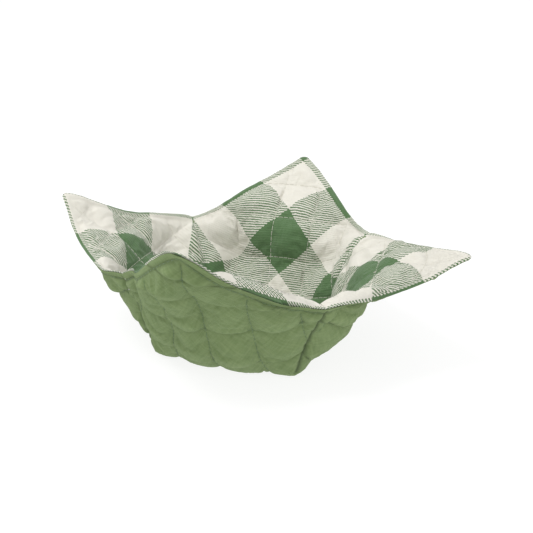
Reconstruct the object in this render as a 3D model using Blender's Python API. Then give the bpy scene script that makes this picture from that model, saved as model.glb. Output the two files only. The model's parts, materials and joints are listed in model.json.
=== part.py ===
"""Quilted cotton cozy that holds a hot soup bowl.

A square of quilted cloth has a dart sewn at the middle of each side. The four
darts lift the square into a bowl with a flat square base, four leaning walls
and four soft corner tips. Three layers are nested: the outer cover, the
wadding and the lining. Lengths are in metres and angles in degrees.
"""

import math

import bpy
import numpy as np
from mathutils import Vector
from mathutils.geometry import delaunay_2d_cdt

# The square of cloth and its darts
SIDE = 0.258
DART_WIDTH = 0.036
DART_LENGTH = 0.0627
FOLD_WIDTH = 0.016

# The three layers
COTTON = 0.0008
WADDING_PINCHED = 0.0005
CLEARANCE = 0.0003
COVER_PUFF = 0.0032
LINING_PUFF = 0.0024
BASE_PUFF = 0.0013

# The stitching
QUILT_SPACING = 0.03085
COVER_QUILT_START = 0.0
LINING_QUILT_START = -0.0088
QUILT_ROW_START = -0.0034
TOPSTITCH_INSET = 0.0065
HEM_ROUND = 0.0022
PUFF_RISE = 0.012

# How finely the cloth is divided
FACE_SIZE = 0.0107
CLOSEST_POINTS = 0.003
STEEPEST_MITRE = 1.5
SHARP_EDGE = 50

# Shape of each wall, going round from the left one: how far it leans from the
# floor at its foot, half way up and at its tip, how far the tip swings aside,
# and how the cloth across the tip twists, wraps inwards, droops and spreads.
# Only the leans are angles; the rest are shares of the cloth's own size
WALLS = (
    dict(outward=(-1, 0), foot=81, middle=45, tip=2, swing=0.001,
         twist=0.69, wrap=-0.20, droop=-1.62, spread=0.8),
    dict(outward=(0, 1), foot=7, middle=57, tip=23, swing=-0.029,
         twist=0.19, wrap=1.96, droop=-0.24, spread=1.0),
    dict(outward=(1, 0), foot=37, middle=53, tip=-34, swing=-0.017,
         twist=-0.60, wrap=1.40, droop=-2.13, spread=0.6),
    dict(outward=(0, -1), foot=16, middle=80, tip=-10, swing=-0.006,
         twist=0.69, wrap=2.39, droop=-2.15, spread=1.1),
)

# Soft swells of each wall, in the same order, at the places that follow, as
# shares of a wall's length from fold to tip
SWELLS = (
    dict(belly=-0.069, low_rim=-0.024, high_rim=-0.103, tip=-0.099,
         low_foot=-0.108, high_foot=-0.121, low_side=-0.094, high_side=-0.055),
    dict(belly=0.147, low_rim=0.078, high_rim=0.012, tip=-0.024,
         low_foot=-0.089, high_foot=-0.061, low_side=0.058, high_side=0.004),
    dict(belly=0.040, low_rim=-0.019, high_rim=-0.050, tip=-0.094,
         low_foot=0.046, high_foot=-0.077, low_side=-0.014, high_side=-0.008),
    dict(belly=-0.002, low_rim=-0.066, high_rim=-0.139, tip=-0.124,
         low_foot=0.020, high_foot=-0.010, low_side=0.018, high_side=0.165),
)

# Where a swell lies: its share of the way from fold to tip, its share of the
# half width there, and the shares of a wall's length it reaches up and across
SWELL_PLACES = dict(
    belly=(0.42, 0.0, 0.222, 0.332),
    low_rim=(0.62, -0.62, 0.192, 0.222),
    high_rim=(0.62, 0.62, 0.192, 0.222),
    tip=(0.80, 0.0, 0.177, 0.251),
    low_foot=(0.30, -0.55, 0.162, 0.192),
    high_foot=(0.30, 0.55, 0.162, 0.192),
    low_side=(0.44, -0.84, 0.162, 0.148),
    high_side=(0.44, 0.84, 0.162, 0.148),
)
SWELL_START = 0.185
SWELL_HOLD = 6

# Each dart seam lies after the wall of the same place: how far it leans from
# the floor, how much it bows, how far it turns from the base's diagonal, and
# how far its last part, from LIP_START on, lies back towards the rim
SEAMS = (
    dict(corner=135, lean=51.3, bow=-31.6, turn=-3.3, lip=3),
    dict(corner=45, lean=66.2, bow=-65.0, turn=9.5, lip=15),
    dict(corner=-45, lean=58.8, bow=-29.3, turn=2.8, lip=-2),
    dict(corner=-135, lean=68.7, bow=-20.0, turn=23.4, lip=6),
)
LIP_START = 0.7

# Distances on the flat cloth, measured from its centre along a wall's middle
HALF_SIDE = SIDE / 2
APEX = HALF_SIDE - DART_LENGTH
FOLD = APEX / math.sqrt(2)
TIP = HALF_SIDE * math.sqrt(2)
DART_END = (HALF_SIDE + DART_WIDTH / 2) / math.sqrt(2)
DART_HALF = (HALF_SIDE - DART_WIDTH / 2) / math.sqrt(2)
DART_FLARE = (DART_HALF - FOLD) / (DART_END - FOLD)
SEAM_LENGTH = math.hypot(DART_LENGTH, DART_WIDTH / 2)
WALL_LENGTH = TIP - FOLD

# Points along the lines that are summed up step by step, and how many of them
# give the direction in which a line ends
LINE_STEPS = 240
END_STEPS = 7
UP_THE_MIDDLE = np.linspace(0, TIP, LINE_STEPS + 1)
UP_THE_SEAM = np.linspace(0, DART_END, LINE_STEPS + 1)


def ease(share):
    """Go smoothly from 0 to 1."""
    share = np.clip(share, 0, 1)
    return share * share * (3 - 2 * share)


def half_width(up):
    """Half the width of a wall, between its seams or between its rims."""
    between_seams = FOLD + (up - FOLD) * DART_FLARE
    return np.where(up < FOLD, up, np.where(up < DART_END, between_seams, TIP - up))


def share_across(up, across):
    """Share of the way from a wall's middle to its seam or rim."""
    width = half_width(up)
    return np.clip(np.abs(across) / np.where(width > 0, width, 1), 0, 1)


def climb(lean, path):
    """Reach and height of a line that leans by these angles along its path."""
    step = np.diff(path)
    angle = (lean[1:] + lean[:-1]) / 2
    reach = np.concatenate(([0], np.cumsum(np.cos(angle) * step)))
    height = np.concatenate(([0], np.cumsum(np.sin(angle) * step)))
    return reach, height


def middle_line(wall):
    """Reach, height and lean along the middle of a wall, from base to tip."""
    share = np.clip((UP_THE_MIDDLE - FOLD) / WALL_LENGTH, 0, 1)
    lean = (wall["foot"] * (1 - share) * (1 - 2 * share)
            + wall["middle"] * 4 * share * (1 - share)
            + wall["tip"] * share * (2 * share - 1))
    folded = ease((UP_THE_MIDDLE - FOLD) / FOLD_WIDTH + 0.5)
    lean = np.radians(lean) * folded
    reach, height = climb(lean, UP_THE_MIDDLE)
    return reach, height, lean


def seam_line(seam):
    """Places along a base diagonal and up the dart seam at its end."""
    share = np.clip((UP_THE_SEAM - FOLD) / (DART_END - FOLD), 0, 1)
    path = np.minimum(UP_THE_SEAM, FOLD) * math.sqrt(2) + share * SEAM_LENGTH
    folded = ease((path - APEX) / FOLD_WIDTH + 0.5)
    lip = seam["lip"] * ease((share - LIP_START) / (1 - LIP_START))
    lean = np.radians(seam["lean"] + seam["bow"] * (share - 0.5) - lip) * folded
    reach, height = climb(lean, path)
    corner = math.radians(seam["corner"])
    turned = corner + math.radians(seam["turn"])
    on_base = np.minimum(reach, APEX)
    beyond = np.maximum(reach - APEX, 0)
    x = on_base * math.cos(corner) + beyond * math.cos(turned)
    y = on_base * math.sin(corner) + beyond * math.sin(turned)
    return x, y, height


def settle(values, at_tip):
    """Carry a row value on from the dart's end to its value at the tip."""
    before_end = -1 - END_STEPS
    slope = (values[-1] - values[before_end]) / (UP_THE_SEAM[-1] - UP_THE_SEAM[before_end])
    length = TIP - DART_END
    share = np.clip((UP_THE_MIDDLE - DART_END) / length, 0, 1)
    above = (values[-1] * (1 + 2 * share) * (1 - share) ** 2
             + slope * length * share * (1 - share) ** 2
             + at_tip * share * share * (3 - 2 * share))
    below = np.interp(UP_THE_MIDDLE, UP_THE_SEAM, values)
    return np.where(UP_THE_MIDDLE < DART_END, below, above)


def row_values(wall, middle, seam, side):
    """Wrap, droop and spread of the rows on one side of a wall."""
    outward = wall["outward"]
    x, y, height = seam
    seam_out = x * outward[0] + y * outward[1]
    seam_side = (x * outward[1] - y * outward[0]) * side
    width = half_width(UP_THE_SEAM)
    reach = np.interp(UP_THE_SEAM, UP_THE_MIDDLE, middle[0])
    rise = np.interp(UP_THE_SEAM, UP_THE_MIDDLE, middle[1])
    flat = UP_THE_SEAM < FOLD - FOLD_WIDTH
    wrap = np.where(flat, 0, TIP * (reach - seam_out) / np.where(flat, 1, width) ** 2)
    droop = np.where(flat, 0, TIP * (height - rise) / np.where(flat, 1, width) ** 2)
    spread = np.where(flat, 1, seam_side / np.where(flat, 1, width))
    return (settle(wrap, wall["wrap"]), settle(droop, wall["droop"]),
            settle(spread, wall["spread"]))


def make_wall_shape(index):
    """Gather what the surface of one wall is worked out from."""
    wall = WALLS[index]
    middle = middle_line(wall)
    before = row_values(wall, middle, seam_line(SEAMS[index - 1]), -1)
    after = row_values(wall, middle, seam_line(SEAMS[index]), 1)
    return dict(wall, middle=middle, before=before, after=after, swells=SWELLS[index])


WALL_SHAPES = [make_wall_shape(index) for index in range(len(WALLS))]


def swell_height(shape, up, across):
    """How far the soft swells push the cloth inwards."""
    total = np.zeros_like(up)
    for name, (rise, aside, reach_up, reach_across) in SWELL_PLACES.items():
        centre_up = FOLD + rise * WALL_LENGTH
        centre_across = aside * half_width(centre_up)
        distance = (((up - centre_up) / (reach_up * WALL_LENGTH)) ** 2
                    + ((across - centre_across) / (reach_across * WALL_LENGTH)) ** 2)
        total += shape["swells"][name] * WALL_LENGTH * np.exp(-distance)
    held = np.where(up < DART_END, share_across(up, across), np.abs(across) / DART_HALF)
    free = 1 - np.clip(held, 0, 1) ** SWELL_HOLD
    return total * free * ease((up - FOLD) / (SWELL_START * WALL_LENGTH))


def wall_surface(shape, up, across):
    """Places on the middle of the cloth of one wall."""
    outward = shape["outward"]
    reach, height, lean = (np.interp(up, UP_THE_MIDDLE, line)
                           for line in shape["middle"])
    after = across >= 0
    wrap, droop, spread = (
        np.where(after, np.interp(up, UP_THE_MIDDLE, a), np.interp(up, UP_THE_MIDDLE, b))
        for a, b in zip(shape["after"], shape["before"]))
    share = np.clip((up - FOLD) / WALL_LENGTH, 0, 1)
    from_dart = np.clip(np.abs(across) / DART_HALF, 0, 1)
    to_tip = np.clip((TIP - up) / (TIP - DART_END), 0, 1)
    held = np.where(up < DART_END, share_across(up, across) ** 2, from_dart ** 2 * to_tip)
    swing = shape["swing"] * TIP * share ** 2 * (1 - held)
    twist = shape["twist"] * across * np.maximum(up - DART_END, 0) / TIP
    swell = swell_height(shape, up, across)
    out = reach - wrap * across ** 2 / TIP - swell * np.sin(lean)
    aside = spread * across + swing
    z = height + droop * across ** 2 / TIP + twist + swell * np.cos(lean)
    x = out * outward[0] + aside * outward[1]
    y = out * outward[1] - aside * outward[0]
    return np.stack((x, y, z), axis=1)


def wall_coordinates(flat):
    """Wall number, distance up and distance across of points on flat cloth."""
    x, y = flat[:, 0], flat[:, 1]
    upright = np.abs(y) >= np.abs(x)
    index = np.where(upright, np.where(y >= 0, 1, 3), np.where(x < 0, 0, 2))
    outward = np.array([wall["outward"] for wall in WALLS])[index]
    up = x * outward[:, 0] + y * outward[:, 1]
    across = x * outward[:, 1] - y * outward[:, 0]
    return index, up, across


def cloth_surface(flat):
    """Places of points of the flat cloth once the darts are sewn."""
    index, up, across = wall_coordinates(flat)
    places = np.zeros((len(flat), 3))
    for wall, shape in enumerate(WALL_SHAPES):
        own = index == wall
        places[own] = wall_surface(shape, up[own], across[own])
    return places


def quilt_lines(start):
    """Positions of parallel quilting lines right across the cloth."""
    count = int(TIP / QUILT_SPACING) + 2
    lines = [start + number * QUILT_SPACING for number in range(-count, count + 1)]
    return [line for line in lines if abs(line) < TIP]


def with_points_between(lines):
    """Add evenly spaced points wherever neighbours lie too far apart."""
    lines = sorted(lines)
    filled = []
    for first, second in zip(lines[:-1], lines[1:]):
        parts = max(1, round((second - first) / FACE_SIZE))
        filled += [first + (second - first) * part / parts for part in range(parts)]
    return filled + lines[-1:]


COVER_COLUMNS = quilt_lines(COVER_QUILT_START)
LINING_COLUMNS = quilt_lines(LINING_QUILT_START)
QUILT_COLUMNS = sorted(set(COVER_COLUMNS + LINING_COLUMNS))
QUILT_ROWS = quilt_lines(QUILT_ROW_START)


def wall_lines(wall):
    """Quilting lines of a wall: those that run across it and those up it."""
    outward = wall["outward"]
    if outward[0]:
        return ([x * outward[0] for x in QUILT_COLUMNS],
                [-y * outward[0] for y in QUILT_ROWS])
    return ([y * outward[1] for y in QUILT_ROWS],
            [x * outward[1] for x in QUILT_COLUMNS])


def points_on_line(crossings, start, end):
    """Points along a line that keep its crossings and are evenly close."""
    kept = [start, end]
    for crossing in sorted(crossings):
        if start < crossing < end and all(abs(crossing - p) > CLOSEST_POINTS for p in kept):
            kept.append(crossing)
    return with_points_between(kept)


def inset_end(inset):
    """Distance up the wall where a line along the rim meets the dart seam."""
    rim = TIP - inset * math.sqrt(2)
    return (rim - FOLD * (1 - DART_FLARE)) / (1 + DART_FLARE)


def seam_points(index):
    """Distances up a dart seam at which both walls have a point."""
    crossings = []
    for wall in (WALLS[index], WALLS[(index + 1) % len(WALLS)]):
        across_lines, up_lines = wall_lines(wall)
        crossings += across_lines
        crossings += [FOLD + (abs(line) - FOLD) / DART_FLARE for line in up_lines]
    stitched = inset_end(TOPSTITCH_INSET)
    inner = points_on_line(crossings, FOLD, stitched)
    return inner + [inset_end(HEM_ROUND), DART_END]


def hem_points(wall, side):
    """Distances across the topstitching, from the tip to the dart seam."""
    across_lines, up_lines = wall_lines(wall)
    stitched = TIP - TOPSTITCH_INSET * math.sqrt(2)
    end = stitched - inset_end(TOPSTITCH_INSET)
    crossings = [stitched - line for line in across_lines]
    crossings += [side * line for line in up_lines]
    return points_on_line(crossings, 0, end)


class FlatPattern:
    """Points and creases of the flat cloth, ready to be divided in faces."""

    def __init__(self):
        self.points = []
        self.creases = []

    def add(self, wall, up, across):
        """Add one point of a wall and give its number."""
        out, side = wall["outward"]
        point = (out * up + side * across, side * up - out * across)
        self.points.append(point)
        return len(self.points) - 1

    def join(self, numbers):
        """Join points by creases."""
        self.creases += list(zip(numbers[:-1], numbers[1:]))

    def nearest(self, candidates, point):
        """Number of the candidate that lies closest to a place."""
        gaps = [math.dist(self.points[number], point) for number in candidates]
        return candidates[int(np.argmin(gaps))]


def add_edges(pattern):
    """Add the dart seams, topstitching, hem and rim; give both kinds of edge."""
    inner_edge = []
    seam_sides = {}
    for index, wall in enumerate(WALLS):
        for side in (-1, 1):
            ups = seam_points(index if side > 0 else index - 1)
            seam = [pattern.add(wall, up, side * half_width(up)) for up in ups]
            seam_sides[index if side > 0 else (index - 1) % len(SEAMS), side] = seam
            pattern.join(seam)
            stitch_end, round_end, rim_end = seam[-3:]
            across = hem_points(wall, side)
            longest = across[-1]
            rings = []
            for inset, end in ((TOPSTITCH_INSET, stitch_end), (HEM_ROUND, round_end),
                               (0, rim_end)):
                rim = TIP - inset * math.sqrt(2)
                reach = rim - inset_end(inset)
                ring = [pattern.add(wall, rim - reach * a / longest, side * reach * a / longest)
                        for a in across[:-1]] + [end]
                pattern.join(ring)
                rings.append(ring)
            inner_edge += seam[:-2] + rings[0]
    return inner_edge, seam_sides


def add_quilting(pattern, inner_edge):
    """Add the quilting lines and the points between them."""
    columns = with_points_between(QUILT_COLUMNS)
    rows = with_points_between(QUILT_ROWS)
    stitched = TIP - TOPSTITCH_INSET * math.sqrt(2)
    numbers = {}
    for i, x in enumerate(columns):
        for j, y in enumerate(rows):
            up, across = max(abs(x), abs(y)), min(abs(x), abs(y))
            to_hem = (stitched - up - across) / math.sqrt(2)
            to_seam = (float(half_width(up)) - across) if up > FOLD else FOLD
            if min(to_hem, to_seam) > CLOSEST_POINTS:
                pattern.points.append((x, y))
                numbers[i, j] = len(pattern.points) - 1
    edge_places = np.array([pattern.points[number] for number in inner_edge])

    def stitch(line):
        """Join one quilting line, carried on to the cloth's inner edge."""
        if not line:
            return
        pattern.join(line)
        for end, before in ((line[0], line[1] if len(line) > 1 else None),
                            (line[-1], line[-2] if len(line) > 1 else None)):
            if before is None:
                continue
            place = np.array(pattern.points[end])
            onward = place - np.array(pattern.points[before])
            onward /= np.linalg.norm(onward)
            offset = edge_places - place
            ahead = offset @ onward
            aside = np.abs(offset[:, 0] * onward[1] - offset[:, 1] * onward[0])
            near = (ahead > 0) & (ahead < 2 * FACE_SIZE) & (aside < CLOSEST_POINTS)
            if near.any():
                cost = np.where(near, aside + ahead / 2, np.inf)
                pattern.join([end, inner_edge[int(np.argmin(cost))]])

    def runs(cells):
        """Split a line of cells wherever a dart or an edge interrupts it."""
        run = []
        for cell in cells:
            if cell in numbers:
                run.append(numbers[cell])
            elif run:
                stitch(run)
                run = []
        stitch(run)

    for i, x in enumerate(columns):
        if x in QUILT_COLUMNS:
            runs([(i, j) for j in range(len(rows))])
    for j, y in enumerate(rows):
        if y in QUILT_ROWS:
            runs([(i, j) for i in range(len(columns))])


def sew_darts(triangles, seam_sides, given):
    """Give the two sides of each dart seam the same points."""
    divided = {number: place for place, numbers in enumerate(given) for number in numbers}
    same = np.arange(len(given))
    for seam in range(len(SEAMS)):
        for one, other in zip(seam_sides[seam, 1], seam_sides[seam, -1]):
            same[divided[other]] = divided[one]
    used, triangles = np.unique(same[triangles], return_inverse=True)
    return used, triangles.reshape(-1, 3)


def divide_cloth():
    """Flat points and triangles of the whole cloth, its darts sewn up."""
    pattern = FlatPattern()
    inner_edge, seam_sides = add_edges(pattern)
    add_quilting(pattern, inner_edge)
    points = [Vector(point) for point in pattern.points]
    result = delaunay_2d_cdt(points, pattern.creases, [], 0, 1e-6)
    flat = np.array([tuple(point) for point in result[0]])
    triangles = np.array([tuple(face) for face in result[2]])
    centre = flat[triangles].mean(axis=1)
    index, up, across = wall_coordinates(centre)
    inside = np.abs(across) < half_width(up) - CLEARANCE / 2
    used, triangles = sew_darts(triangles[inside], seam_sides, result[3])
    return flat[used], triangles


def mitred_normals(places, triangles):
    """Directions into the bowl, lengthened at folds to keep the thickness."""
    corners = places[triangles]
    faces = np.cross(corners[:, 1] - corners[:, 0], corners[:, 2] - corners[:, 0])
    unit = faces / np.linalg.norm(faces, axis=1)[:, None]
    normals = np.zeros_like(places)
    for corner in range(3):
        a = corners[:, (corner + 1) % 3] - corners[:, corner]
        b = corners[:, (corner + 2) % 3] - corners[:, corner]
        cosine = (a * b).sum(axis=1) / (np.linalg.norm(a, axis=1) * np.linalg.norm(b, axis=1))
        angle = np.arccos(np.clip(cosine, -1, 1))
        np.add.at(normals, triangles[:, corner], unit * angle[:, None])
    normals /= np.linalg.norm(normals, axis=1)[:, None]
    least = np.ones(len(places))
    for corner in range(3):
        agree = (normals[triangles[:, corner]] * unit).sum(axis=1)
        np.minimum.at(least, triangles[:, corner], agree)
    return normals / np.maximum(least, 1 / STEEPEST_MITRE)[:, None]


def pillow(distance):
    """Rounded rise of the wadding between two quilting lines."""
    return np.sqrt(np.abs(np.sin(math.pi * distance / QUILT_SPACING)))


def puff_share(flat, column_start):
    """Share of the full puff at each point: none on a line of stitches."""
    up, across = wall_coordinates(flat)[1:]
    side = half_width(up) - np.abs(across)
    to_seam = np.where((up > FOLD) & (up < DART_END), side, PUFF_RISE)
    to_hem = (TIP - up - np.abs(across)) / math.sqrt(2) - TOPSTITCH_INSET
    quilted = (pillow(flat[:, 0] - column_start)
               * pillow(flat[:, 1] - QUILT_ROW_START))
    return quilted * ease(to_seam / PUFF_RISE) * ease(to_hem / PUFF_RISE)


def layer_offsets(flat):
    """Distances of each layer's two faces from the middle of the cloth."""
    up, across = wall_coordinates(flat)[1:]
    to_rim = (TIP - up - np.abs(across)) / math.sqrt(2)
    turned_in = ease((TOPSTITCH_INSET - to_rim) / (TOPSTITCH_INSET - HEM_ROUND))
    pressed = BASE_PUFF + (COVER_PUFF - BASE_PUFF) * ease((up - FOLD) / FOLD_WIDTH)
    below = WADDING_PINCHED / 2 + np.minimum(
        COVER_PUFF * puff_share(flat, COVER_QUILT_START), pressed)
    above = WADDING_PINCHED / 2 + LINING_PUFF * puff_share(flat, LINING_QUILT_START)
    gap = CLEARANCE * (1 - turned_in) + (CLEARANCE - WADDING_PINCHED) / 2 * turned_in
    thick = np.where(to_rim < HEM_ROUND / 2, COTTON, COTTON * (1 + turned_in))
    return dict(
        outer_cover=(-(below + gap + thick), -(below + gap)),
        wadding=(-below, above),
        lining=(above + gap, above + gap + thick))


def edge_loop(triangles):
    """Directed edges that belong to one triangle only."""
    edges = {}
    for a, b, c in triangles:
        for edge in ((a, b), (b, c), (c, a)):
            edges[edge] = True
    return [(a, b) for a, b in edges if (b, a) not in edges]


def make_layer(name, low, high, triangles, colour, roughness):
    """Build one closed layer of cloth between its two faces."""
    count = len(low)
    faces = [tuple(triangle + count) for triangle in triangles]
    faces += [tuple(triangle[::-1]) for triangle in triangles]
    for a, b in edge_loop(triangles):
        faces += [(a, b, b + count), (a, b + count, a + count)]
    used = sorted({number for face in faces for number in face})
    renumber = {number: place for place, number in enumerate(used)}
    corners = np.concatenate((low, high))[used]
    mesh = bpy.data.meshes.new(name)
    mesh.from_pydata(corners.tolist(), [],
                     [tuple(renumber[number] for number in face) for face in faces])
    mesh.validate()
    mesh.shade_smooth()
    mesh.set_sharp_from_angle(angle=math.radians(SHARP_EDGE))
    mesh.materials.append(make_cotton(name, colour, roughness))
    layer = bpy.data.objects.new(name, mesh)
    bpy.context.scene.collection.objects.link(layer)
    return layer


def make_cotton(name, colour, roughness):
    """Make the plain cloth material of one layer."""
    material = bpy.data.materials.new(name)
    material.use_nodes = True
    shader = material.node_tree.nodes["Principled BSDF"]
    shader.inputs["Base Color"].default_value = (*colour, 1)
    shader.inputs["Roughness"].default_value = roughness
    shader.inputs["Metallic"].default_value = 0
    return material


def remove_everything():
    """Clear the scene's objects."""
    for thing in list(bpy.data.objects):
        bpy.data.objects.remove(thing, do_unlink=True)


def build():
    """Divide the cloth, sew the darts and build the three layers."""
    remove_everything()
    flat, triangles = divide_cloth()
    places = cloth_surface(flat)
    normals = mitred_normals(places, triangles)
    offsets = layer_offsets(flat)
    faces = {name: [places + normals * distance[:, None] for distance in pair]
             for name, pair in offsets.items()}
    underside = faces["outer_cover"][0]
    table = -(WADDING_PINCHED / 2 + BASE_PUFF + CLEARANCE + COTTON)
    underside[:, 2] = np.maximum(underside[:, 2], table)
    everything = np.concatenate([face for pair in faces.values() for face in pair])
    low, high = everything.min(axis=0), everything.max(axis=0)
    origin = np.array([(low[0] + high[0]) / 2, (low[1] + high[1]) / 2, table])

    up, across = wall_coordinates(flat)[1:]
    to_rim = (TIP - up - np.abs(across)) / math.sqrt(2)
    in_hem = (to_rim < TOPSTITCH_INSET - CLEARANCE)[triangles].any(axis=1)
    for name, colour, roughness, kept in (
            ("outer_cover", (0.19, 0.28, 0.13), 0.9, triangles),
            ("wadding", (0.80, 0.79, 0.76), 0.95, triangles[~in_hem]),
            ("lining", (0.78, 0.76, 0.69), 0.9, triangles)):
        low_face, high_face = (face - origin for face in faces[name])
        make_layer(name, low_face, high_face, kept, colour, roughness)


build()
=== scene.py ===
import json
import math

import bpy
import numpy as np
from mathutils import Matrix, Vector, noise

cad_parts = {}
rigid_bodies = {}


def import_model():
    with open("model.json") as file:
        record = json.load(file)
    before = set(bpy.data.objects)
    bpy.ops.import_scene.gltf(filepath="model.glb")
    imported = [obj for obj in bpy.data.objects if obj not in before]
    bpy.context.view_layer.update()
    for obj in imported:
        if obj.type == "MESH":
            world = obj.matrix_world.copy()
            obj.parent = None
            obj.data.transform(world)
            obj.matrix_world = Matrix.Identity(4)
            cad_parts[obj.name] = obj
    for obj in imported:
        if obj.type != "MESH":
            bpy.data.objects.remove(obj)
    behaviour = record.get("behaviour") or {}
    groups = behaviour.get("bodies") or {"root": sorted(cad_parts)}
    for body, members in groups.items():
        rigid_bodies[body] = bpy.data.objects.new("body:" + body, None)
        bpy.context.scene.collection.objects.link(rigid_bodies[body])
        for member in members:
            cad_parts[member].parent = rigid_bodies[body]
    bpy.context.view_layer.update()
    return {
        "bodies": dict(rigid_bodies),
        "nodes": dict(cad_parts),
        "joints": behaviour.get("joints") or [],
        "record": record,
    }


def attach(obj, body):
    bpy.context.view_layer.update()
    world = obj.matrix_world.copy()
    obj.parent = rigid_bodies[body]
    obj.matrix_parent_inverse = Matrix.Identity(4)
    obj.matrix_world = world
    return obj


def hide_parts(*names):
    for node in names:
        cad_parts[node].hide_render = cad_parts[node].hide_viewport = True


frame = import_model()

# Outer cover: one square of plain sage green cotton, stitched in a grid of squares,
# with a dart at the middle of each side and its edge turned in. It carries the
# bowl shape, and every other piece is laid against it.

SIDE = 0.258
DART_WIDTH = 0.036
DART_LENGTH = 0.0627
FOLD_WIDTH = 0.016
CENTRE = (0.00233, 0.01308)

COTTON = 0.0008
WADDING_PINCHED = 0.0005
CLEARANCE = 0.0003
COVER_PUFF = 0.0032
BASE_PUFF = 0.0013
QUILT_SPACING = 0.03085
COVER_QUILT_START = 0.0
QUILT_ROW_START = -0.0034
TOPSTITCH_INSET = 0.0042
TIP_ROUND = 0.0045

# Shape of each wall, going round from the left one: how far it leans from the
# floor at its foot, half way up and at its tip, how far the tip swings aside,
# and how the cloth across the tip twists, wraps inwards, droops and spreads.
# Only the leans are angles; the rest are shares of the cloth's own size
WALLS = (
    dict(outward=(-1, 0), foot=81, middle=45, tip=2, swing=0.001,
         twist=0.69, wrap=-0.20, droop=-1.62, spread=0.8),
    dict(outward=(0, 1), foot=7, middle=57, tip=23, swing=-0.029,
         twist=0.19, wrap=1.96, droop=-0.24, spread=1.0),
    dict(outward=(1, 0), foot=37, middle=53, tip=-34, swing=-0.017,
         twist=-0.60, wrap=1.40, droop=-2.13, spread=0.6),
    dict(outward=(0, -1), foot=16, middle=80, tip=-10, swing=-0.006,
         twist=0.69, wrap=2.39, droop=-2.15, spread=1.1),
)

# Soft swells of each wall, in the same order, at the places that follow, as
# shares of a wall's length from fold to tip
SWELLS = (
    dict(belly=-0.069, low_rim=-0.045, high_rim=-0.103, tip=-0.099,
         low_foot=-0.100, high_foot=-0.121, low_side=-0.074, high_side=-0.055),
    dict(belly=0.147, low_rim=0.078, high_rim=0.012, tip=-0.024,
         low_foot=-0.089, high_foot=-0.061, low_side=0.058, high_side=0.004),
    dict(belly=0.040, low_rim=-0.035, high_rim=-0.038, tip=-0.094,
         low_foot=0.046, high_foot=-0.055, low_side=-0.014, high_side=0.012),
    dict(belly=-0.002, low_rim=-0.066, high_rim=-0.139, tip=-0.124,
         low_foot=0.012, high_foot=0.008, low_side=0.018, high_side=0.020),
)

# Where a swell lies: its share of the way from fold to tip, its share of the
# half width there, and the shares of a wall's length it reaches up and across
SWELL_PLACES = dict(
    belly=(0.42, 0.0, 0.222, 0.332),
    low_rim=(0.62, -0.62, 0.192, 0.222),
    high_rim=(0.62, 0.62, 0.192, 0.222),
    tip=(0.80, 0.0, 0.177, 0.251),
    low_foot=(0.30, -0.55, 0.162, 0.192),
    high_foot=(0.30, 0.55, 0.162, 0.192),
    low_side=(0.44, -0.84, 0.162, 0.148),
    high_side=(0.44, 0.84, 0.162, 0.148),
)
SWELL_START = 0.185
SWELL_HOLD = 6

# Each dart seam lies after the wall of the same place: how far it leans from
# the floor, how much it bows, how far it turns from the base's diagonal, and
# how far its last part, from LIP_START on, lies back towards the rim
SEAMS = (
    dict(corner=135, lean=51.3, bow=-31.6, turn=-3.3, lip=3),
    dict(corner=45, lean=64.2, bow=-65.0, turn=9.5, lip=11),
    dict(corner=-45, lean=58.8, bow=-29.3, turn=2.8, lip=-2),
    dict(corner=-135, lean=68.7, bow=-20.0, turn=23.4, lip=6),
)
LIP_START = 0.7

# Distances on the flat cloth, measured from its centre along a wall's middle
HALF_SIDE = SIDE / 2
APEX = HALF_SIDE - DART_LENGTH
FOLD = APEX / math.sqrt(2)
TIP = HALF_SIDE * math.sqrt(2)
DART_END = (HALF_SIDE + DART_WIDTH / 2) / math.sqrt(2)
DART_HALF = (HALF_SIDE - DART_WIDTH / 2) / math.sqrt(2)
DART_FLARE = (DART_HALF - FOLD) / (DART_END - FOLD)
SEAM_LENGTH = math.hypot(DART_LENGTH, DART_WIDTH / 2)
WALL_LENGTH = TIP - FOLD
TABLE = WADDING_PINCHED / 2 + BASE_PUFF + CLEARANCE + COTTON
LINE_STEPS = 240
END_STEPS = 7
UP_THE_MIDDLE = np.linspace(0, TIP, LINE_STEPS + 1)
UP_THE_SEAM = np.linspace(0, DART_END, LINE_STEPS + 1)


def ease(share):
    """Go smoothly from 0 to 1."""
    share = np.clip(share, 0, 1)
    return share * share * (3 - 2 * share)


def half_width(up):
    """Half the width of a wall, between its seams or between its rims."""
    between_seams = FOLD + (up - FOLD) * DART_FLARE
    return np.where(up < FOLD, up, np.where(up < DART_END, between_seams, TIP - up))


def share_across(up, across):
    """Share of the way from a wall's middle to its seam or rim."""
    width = half_width(up)
    return np.clip(np.abs(across) / np.where(width > 0, width, 1), 0, 1)


def climb(lean, path):
    """Reach and height of a line that leans by these angles along its path."""
    step = np.diff(path)
    angle = (lean[1:] + lean[:-1]) / 2
    reach = np.concatenate(([0], np.cumsum(np.cos(angle) * step)))
    height = np.concatenate(([0], np.cumsum(np.sin(angle) * step)))
    return reach, height


def middle_line(wall):
    """Reach, height and lean along the middle of a wall, from base to tip."""
    share = np.clip((UP_THE_MIDDLE - FOLD) / WALL_LENGTH, 0, 1)
    lean = (wall["foot"] * (1 - share) * (1 - 2 * share)
            + wall["middle"] * 4 * share * (1 - share)
            + wall["tip"] * share * (2 * share - 1))
    folded = ease((UP_THE_MIDDLE - FOLD) / FOLD_WIDTH + 0.5)
    lean = np.radians(lean) * folded
    reach, height = climb(lean, UP_THE_MIDDLE)
    return reach, height, lean


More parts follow.
